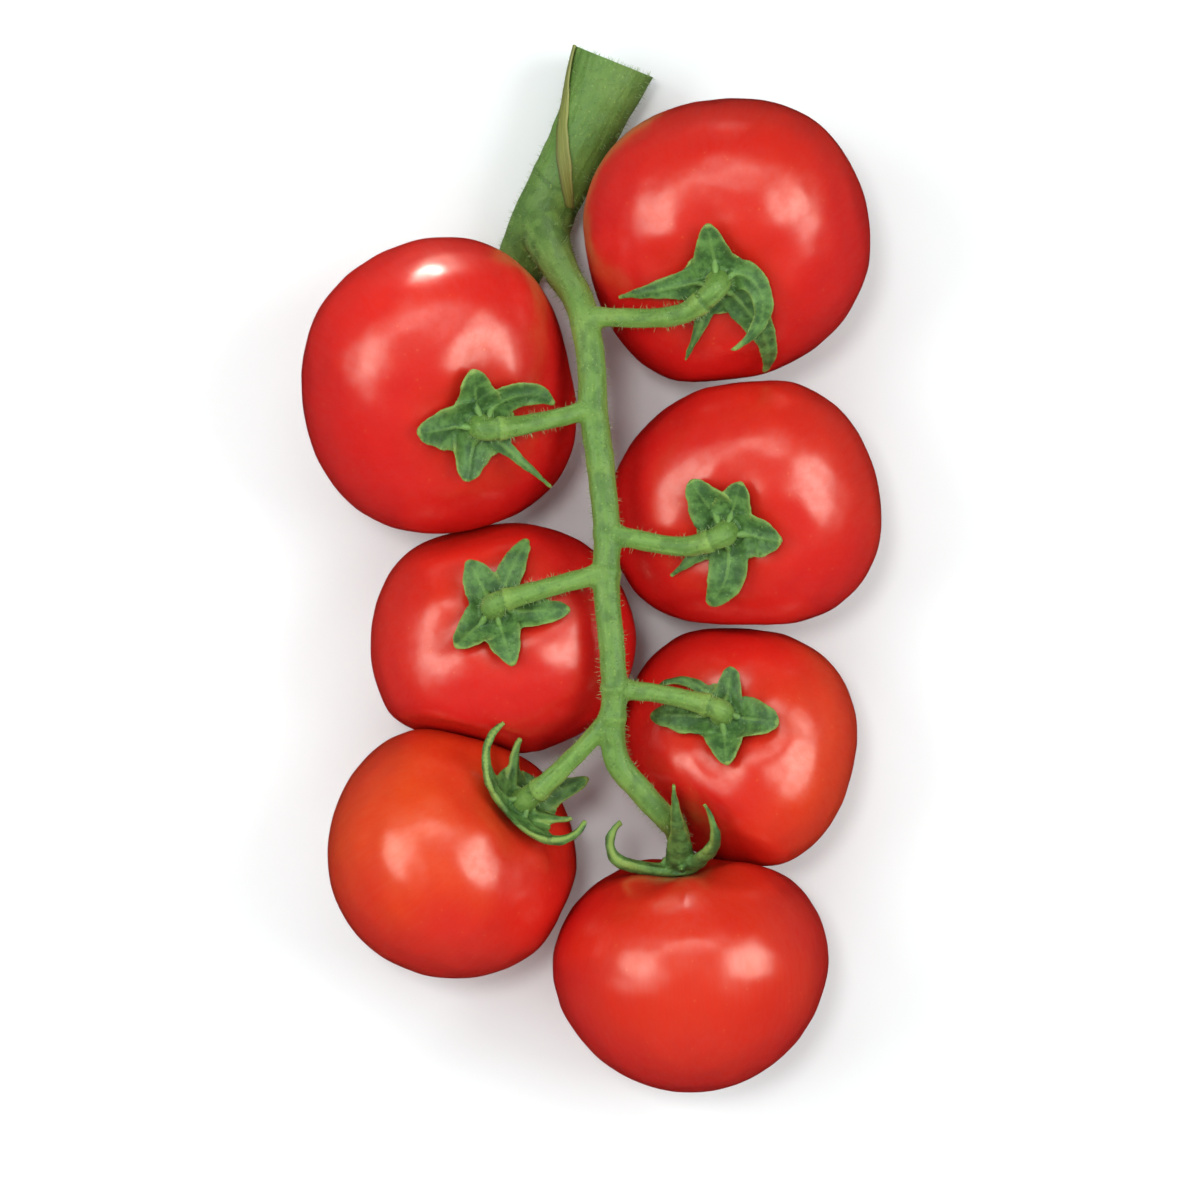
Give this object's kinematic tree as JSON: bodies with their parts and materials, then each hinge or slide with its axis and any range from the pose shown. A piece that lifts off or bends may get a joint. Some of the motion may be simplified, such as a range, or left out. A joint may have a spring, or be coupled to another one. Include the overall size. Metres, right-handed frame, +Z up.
{
  "type": "truss of tomatoes",
  "caption": "Truss of ripe round tomatoes on one branching green stalk, each with a leafy calyx, lying flat with a length of cut stem.",
  "frame": {"origin": "on the table under the middle of the whole truss", "axes": "+Z up from the table, +Y along the truss to the cut stem, +X to the right of the stalk seen from above"},
  "size_m": [0.1038, 0.1898, 0.0492],
  "materials": {
    "tomato_skin": "smooth, glossy",
    "calyx_green": "matte, finely hairy",
    "vine_green": "matte, finely hairy",
    "bract_olive": "matte, dry"
  },
  "bodies": {
    "root": {"vine": "vine_green", "bract": "bract_olive", "tomato_1": "tomato_skin", "tomato_2": "tomato_skin", "tomato_3": "tomato_skin", "tomato_4": "tomato_skin", "tomato_5": "tomato_skin", "tomato_6": "tomato_skin", "tomato_7": "tomato_skin", "calyx_1": "calyx_green", "calyx_2": "calyx_green", "calyx_3": "calyx_green", "calyx_4": "calyx_green", "calyx_5": "calyx_green", "calyx_6": "calyx_green", "calyx_7": "calyx_green"}
  },
  "joints": []
}
